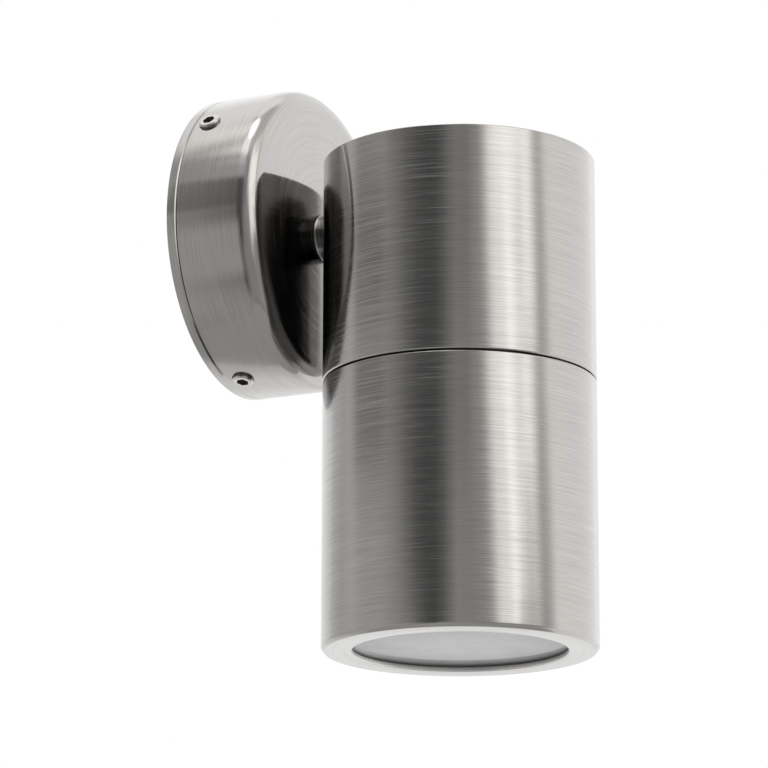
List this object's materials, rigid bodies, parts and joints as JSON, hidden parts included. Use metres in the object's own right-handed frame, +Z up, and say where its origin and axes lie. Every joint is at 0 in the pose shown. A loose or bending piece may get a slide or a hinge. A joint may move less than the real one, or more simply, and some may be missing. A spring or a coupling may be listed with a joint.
{
  "type": "tube wall light",
  "caption": "Down light in a brushed steel tube, on a short stem from a round wall canopy, with a screwed hood that holds a frosted glass.",
  "frame": {"origin": "on the stem's axis at the wall face, midway between the two wall screws", "axes": "+Y into the wall, -Y out along the stem towards the tube, +Z up, the tube's axis is vertical"},
  "size_m": [0.068, 0.085, 0.1307],
  "materials": {
    "turned_steel": "satin",
    "inner_steel": "satin",
    "fastener_steel": "satin",
    "black_rubber": "matte",
    "grey_foam": "matte",
    "terminal_plastic": "matte",
    "brass": "satin",
    "brown_sleeving": "satin",
    "blue_sleeving": "satin",
    "green_sleeving": "satin",
    "holder_ceramic": "satin",
    "frosted_glass": "satin",
    "lamp_shell": "satin",
    "lamp_lens_plastic": "satin",
    "lamp_board": "satin",
    "driver_potting": "matte",
    "nickel_pins": "polished"
  },
  "bodies": {
    "wall_plate": {"mounting_plate": "turned_steel", "wall_gasket": "grey_foam", "cable_grommet": "black_rubber", "plate_seal": "black_rubber"},
    "fitting": {"canopy": "turned_steel", "set_screws": "fastener_steel", "canopy_washer": "fastener_steel", "canopy_nut": "fastener_steel", "stem_seal": "black_rubber", "stem": "turned_steel", "tube_seal": "black_rubber", "saddle_washer": "inner_steel", "tube_nut": "fastener_steel", "terminal_block": "terminal_plastic", "terminal_sleeves": "brass", "terminal_screws": "fastener_steel", "block_screws": "fastener_steel", "live_lead": "brown_sleeving", "neutral_lead": "blue_sleeving", "earth_lead": "green_sleeving", "earth_tag": "brass", "earth_screw": "brass", "body_tube": "turned_steel", "body_cap": "turned_steel", "neck_ring": "inner_steel", "neck_seal": "black_rubber", "holder_bracket": "inner_steel", "bracket_screws": "fastener_steel", "lamp_holder": "holder_ceramic", "holder_contacts": "brass", "holder_screws": "fastener_steel"},
    "lens_pack": {"lens_gasket": "black_rubber", "lens_glass": "frosted_glass", "lens_cushion": "black_rubber", "lens_ring": "inner_steel"},
    "hood": {"hood": "turned_steel"},
    "lamp": {"lamp_housing": "lamp_shell", "lamp_lens": "lamp_lens_plastic", "led_board": "lamp_board", "lamp_driver": "driver_potting", "lamp_pins": "nickel_pins"}
  },
  "joints": [
    {"name": "canopy_release", "type": "slide", "parent": "wall_plate", "child": "fitting", "axis": [0, -1, 0], "range_m": [0, 0.03]},
    {"name": "hood_travel", "type": "slide", "parent": "fitting", "child": "lens_pack", "axis": [0, 0, -1], "range_m": [0, 0.009]},
    {"name": "hood_turn", "type": "hinge", "parent": "lens_pack", "child": "hood", "pos_m": [0, -0.055, -0.06], "axis": [0, 0, -1], "range_deg": [0, 2160]},
    {"name": "lamp_twist", "type": "hinge", "parent": "fitting", "child": "lamp", "pos_m": [0, -0.055, -0.0388], "axis": [0, 0, 1], "range_deg": [0, 30]}
  ],
  "couplings": [
    {"joint": "hood_travel", "follows": "hood_turn", "m_per_rad": 0.00023873}
  ]
}
